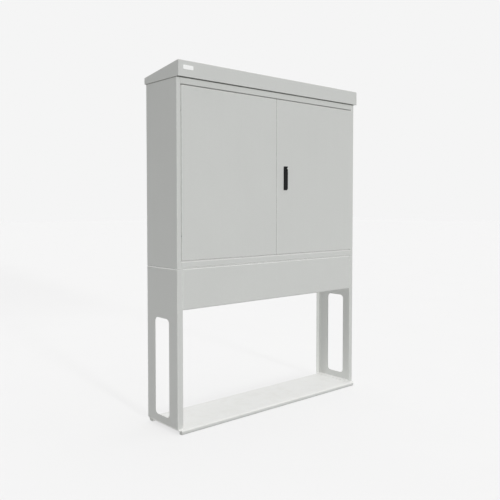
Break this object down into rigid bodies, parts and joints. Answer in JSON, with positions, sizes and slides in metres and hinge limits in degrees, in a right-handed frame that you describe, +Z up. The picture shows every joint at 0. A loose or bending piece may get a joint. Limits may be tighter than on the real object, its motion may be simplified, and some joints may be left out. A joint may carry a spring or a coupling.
{
  "type": "outdoor cable distribution cabinet",
  "caption": "Wide shallow outdoor electrical cabinet with paired doors, swing handle and sloped roof, standing on an open slotted ground stand with a base plate.",
  "frame": {"origin": "bottom centre of the bounding box, on the ground under the base plate", "axes": "+X to the right seen from the front, -Y towards the viewer of the doors, +Z up"},
  "size_m": [1.205, 0.276, 1.6575],
  "materials": {
    "light_grey_paint": "fine-textured satin powder coat",
    "zinc_plated_steel": "dull zinc plating",
    "black_rubber": "matte",
    "grey_rubber": "matte",
    "black_plastic": "fine-grained matte",
    "plain_brass": "satin"
  },
  "bodies": {
    "cabinet": {"base_plate": "light_grey_paint", "stand_side_left": "light_grey_paint", "stand_side_right": "light_grey_paint", "stand_cover_front": "light_grey_paint", "stand_cover_rear": "light_grey_paint", "side_panel_left": "light_grey_paint", "side_panel_right": "light_grey_paint", "back_panel": "light_grey_paint", "floor_panel": "light_grey_paint", "top_panel": "light_grey_paint", "head_rail": "light_grey_paint", "sill_rail": "light_grey_paint", "centre_post": "light_grey_paint", "roof_cap": "light_grey_paint", "stand_cover_nuts": "zinc_plated_steel", "stand_bolts": "zinc_plated_steel", "centre_post_screws": "zinc_plated_steel", "gland_plate": "zinc_plated_steel", "gland_plate_screws": "zinc_plated_steel", "cable_support_rail": "zinc_plated_steel", "mounting_plate": "zinc_plated_steel", "mounting_spacers": "zinc_plated_steel", "mounting_bolts": "zinc_plated_steel", "roof_bearer_left": "zinc_plated_steel", "roof_bearer_right": "zinc_plated_steel", "roof_bolts": "zinc_plated_steel", "hinge_arm_left_upper": "zinc_plated_steel", "hinge_arm_left_lower": "zinc_plated_steel", "hinge_arm_right_upper": "zinc_plated_steel", "hinge_arm_right_lower": "zinc_plated_steel", "hinge_pins_left": "zinc_plated_steel", "hinge_pins_right": "zinc_plated_steel", "stand_seal": "grey_rubber", "cable_grommets": "black_rubber", "earth_stud": "plain_brass"},
    "left_door": {"door_left": "light_grey_paint", "door_seal_left": "black_rubber", "hinge_knuckle_left_upper": "zinc_plated_steel", "hinge_knuckle_left_lower": "zinc_plated_steel", "bolt_guide_upper": "zinc_plated_steel", "bolt_guide_lower": "zinc_plated_steel"},
    "upper_bolt": {"slide_bolt_upper": "zinc_plated_steel"},
    "lower_bolt": {"slide_bolt_lower": "zinc_plated_steel"},
    "right_door": {"door_right": "light_grey_paint", "door_seal_right": "black_rubber", "hinge_knuckle_right_upper": "zinc_plated_steel", "hinge_knuckle_right_lower": "zinc_plated_steel", "handle_plate": "black_plastic", "lock_case": "zinc_plated_steel", "lock_case_screws": "zinc_plated_steel", "rod_guides_upper": "zinc_plated_steel", "rod_guides_lower": "zinc_plated_steel"},
    "handle_spindle": {"handle_hub": "black_plastic", "lock_pinion": "zinc_plated_steel", "lever_pin": "zinc_plated_steel"},
    "upper_rod": {"lock_rod_upper": "zinc_plated_steel"},
    "lower_rod": {"lock_rod_lower": "zinc_plated_steel"},
    "handle_lever": {"lever": "black_plastic"},
    "key_barrel": {"lock_barrel": "black_plastic"}
  },
  "joints": [
    {"name": "left_door_swing", "type": "hinge", "parent": "cabinet", "child": "left_door", "pos_m": [-0.567, -0.117, 1.164], "axis": [0, 0, -1], "range_deg": [0, 105]},
    {"name": "upper_bolt_slide", "type": "slide", "parent": "left_door", "child": "upper_bolt", "axis": [0, 0, 1], "range_m": [0, 0.018]},
    {"name": "lower_bolt_slide", "type": "slide", "parent": "left_door", "child": "lower_bolt", "axis": [0, 0, -1], "range_m": [0, 0.018]},
    {"name": "right_door_swing", "type": "hinge", "parent": "cabinet", "child": "right_door", "pos_m": [0.567, -0.117, 1.164], "axis": [0, 0, 1], "range_deg": [0, 105]},
    {"name": "handle_turn", "type": "hinge", "parent": "right_door", "child": "handle_spindle", "pos_m": [0.06, -0.124, 1.204], "axis": [0, -1, 0], "range_deg": [0, 90]},
    {"name": "upper_rod_slide", "type": "slide", "parent": "right_door", "child": "upper_rod", "axis": [0, 0, 1], "range_m": [0, 0.0189]},
    {"name": "lower_rod_slide", "type": "slide", "parent": "right_door", "child": "lower_rod", "axis": [0, 0, -1], "range_m": [0, 0.0189]},
    {"name": "lever_flip", "type": "hinge", "parent": "handle_spindle", "child": "handle_lever", "pos_m": [0.06, -0.1306, 1.204], "axis": [-1, 0, 0], "range_deg": [0, 40]},
    {"name": "key_turn", "type": "hinge", "parent": "handle_lever", "child": "key_barrel", "pos_m": [0.06, -0.1306, 1.121], "axis": [0, -1, 0], "range_deg": [0, 90]}
  ],
  "couplings": [
    {"joint": "upper_rod_slide", "follows": "handle_turn", "m_per_rad": 0.012},
    {"joint": "lower_rod_slide", "follows": "handle_turn", "m_per_rad": 0.012}
  ]
}
